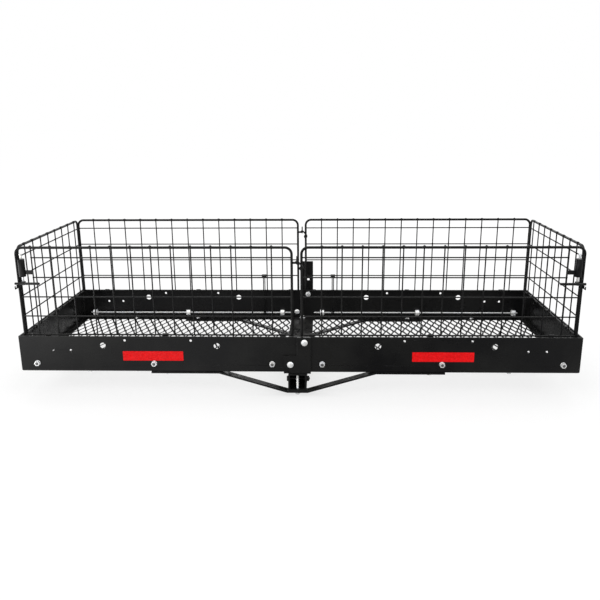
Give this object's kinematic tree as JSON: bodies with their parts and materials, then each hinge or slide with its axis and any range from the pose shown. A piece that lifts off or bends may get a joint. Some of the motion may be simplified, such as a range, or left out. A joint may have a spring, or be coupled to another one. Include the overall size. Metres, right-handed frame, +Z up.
{
  "type": "hitch cargo carrier",
  "caption": "Steel cargo tray on a square receiver bar, with an expanded mesh floor, tall wire mesh sides, a fold-down rear gate, corner lift latches, hooks and reflectors.",
  "frame": {"origin": "middle of the hitch pin hole, on the bar's centre line", "axes": "+X to the right seen from behind the carrier, +Y towards the vehicle along the bar, +Z up"},
  "size_m": [1.524, 0.8361, 0.4208],
  "materials": {
    "powder_black": "satin black powder coat",
    "mesh_black": "satin black powder coat on expanded steel",
    "wire_black": "semi-gloss black powder coat on welded wire",
    "zinc": "bright zinc plate",
    "reflector_red": "red reflective tape"
  },
  "bodies": {
    "carrier": {"rear_rail_left": "powder_black", "rear_rail_right": "powder_black", "front_rail_left": "powder_black", "front_rail_right": "powder_black", "end_rail_left": "powder_black", "end_rail_right": "powder_black", "cross_rail_left": "powder_black", "cross_rail_right": "powder_black", "floor_mesh_left": "mesh_black", "floor_mesh_right": "mesh_black", "cradle": "powder_black", "hitch_bar": "powder_black", "rear_brace": "powder_black", "front_brace": "powder_black", "splice_bolts": "zinc", "splice_nuts": "zinc", "bar_bolts": "zinc", "bar_washers": "zinc", "bar_nuts": "zinc", "cross_bolt": "powder_black", "cross_nut": "powder_black", "brace_bolts": "zinc", "brace_nuts": "zinc", "floor_bolts": "zinc", "floor_nuts": "zinc", "reflector_left": "reflector_red", "reflector_right": "reflector_red", "tie_rods": "zinc", "eye_bolts": "zinc", "eye_washers": "zinc", "eye_nuts": "zinc", "front_panel_left": "wire_black", "front_panel_right": "wire_black", "end_panel_left": "wire_black", "end_panel_right": "wire_black", "rear_hinge_clips": "powder_black", "front_clips": "powder_black", "end_clips": "powder_black", "front_hook_pin": "powder_black", "front_hook_peg": "powder_black", "latch_keeper_left": "powder_black", "latch_keeper_right": "powder_black"},
    "rear_gate_right": {"rear_panel_right": "wire_black", "rear_hook_pin": "powder_black", "latch_barrel_right": "powder_black"},
    "rear_gate_left": {"rear_panel_left": "wire_black", "rear_hook_peg": "powder_black", "latch_barrel_left": "powder_black"},
    "rear_hook": {"rear_hook": "powder_black"},
    "front_hook": {"front_hook": "powder_black"},
    "latch_right": {"latch_rod_right": "zinc", "latch_bar_right": "powder_black"},
    "latch_left": {"latch_rod_left": "zinc", "latch_bar_left": "powder_black"},
    "stay_right": {"stay_right": "wire_black", "stay_clip_right": "wire_black"},
    "stay_left": {"stay_left": "wire_black", "stay_clip_left": "wire_black"}
  },
  "joints": [
    {"name": "rear_gate_right_fold", "type": "hinge", "parent": "carrier", "child": "rear_gate_right", "pos_m": [0, -0.748, 0.1328], "axis": [1, 0, 0], "range_deg": [0, 72]},
    {"name": "rear_gate_left_fold", "type": "hinge", "parent": "carrier", "child": "rear_gate_left", "pos_m": [0, -0.748, 0.1328], "axis": [1, 0, 0], "range_deg": [0, 72]},
    {"name": "rear_hook_swing", "type": "hinge", "parent": "rear_gate_right", "child": "rear_hook", "pos_m": [0.013, -0.748, 0.3204], "axis": [0, 1, 0], "range_deg": [0, 110]},
    {"name": "front_hook_swing", "type": "hinge", "parent": "carrier", "child": "front_hook", "pos_m": [0.013, -0.268, 0.3204], "axis": [0, 1, 0], "range_deg": [0, 110]},
    {"name": "latch_right_lift", "type": "slide", "parent": "rear_gate_right", "child": "latch_right", "axis": [0, 0, 1], "range_m": [-0.008, 0.008]},
    {"name": "latch_left_lift", "type": "slide", "parent": "rear_gate_left", "child": "latch_left", "axis": [0, 0, 1], "range_m": [-0.008, 0.008]},
    {"name": "stay_right_swing", "type": "hinge", "parent": "carrier", "child": "stay_right", "pos_m": [0.104, -0.269, 0.0549], "axis": [1, 0, 0], "range_deg": [0, 90]},
    {"name": "stay_left_swing", "type": "hinge", "parent": "carrier", "child": "stay_left", "pos_m": [-0.128, -0.269, 0.0549], "axis": [1, 0, 0], "range_deg": [0, 90]}
  ],
  "couplings": [
    {"joint": "rear_gate_left_fold", "follows": "rear_gate_right_fold", "ratio": 1}
  ]
}
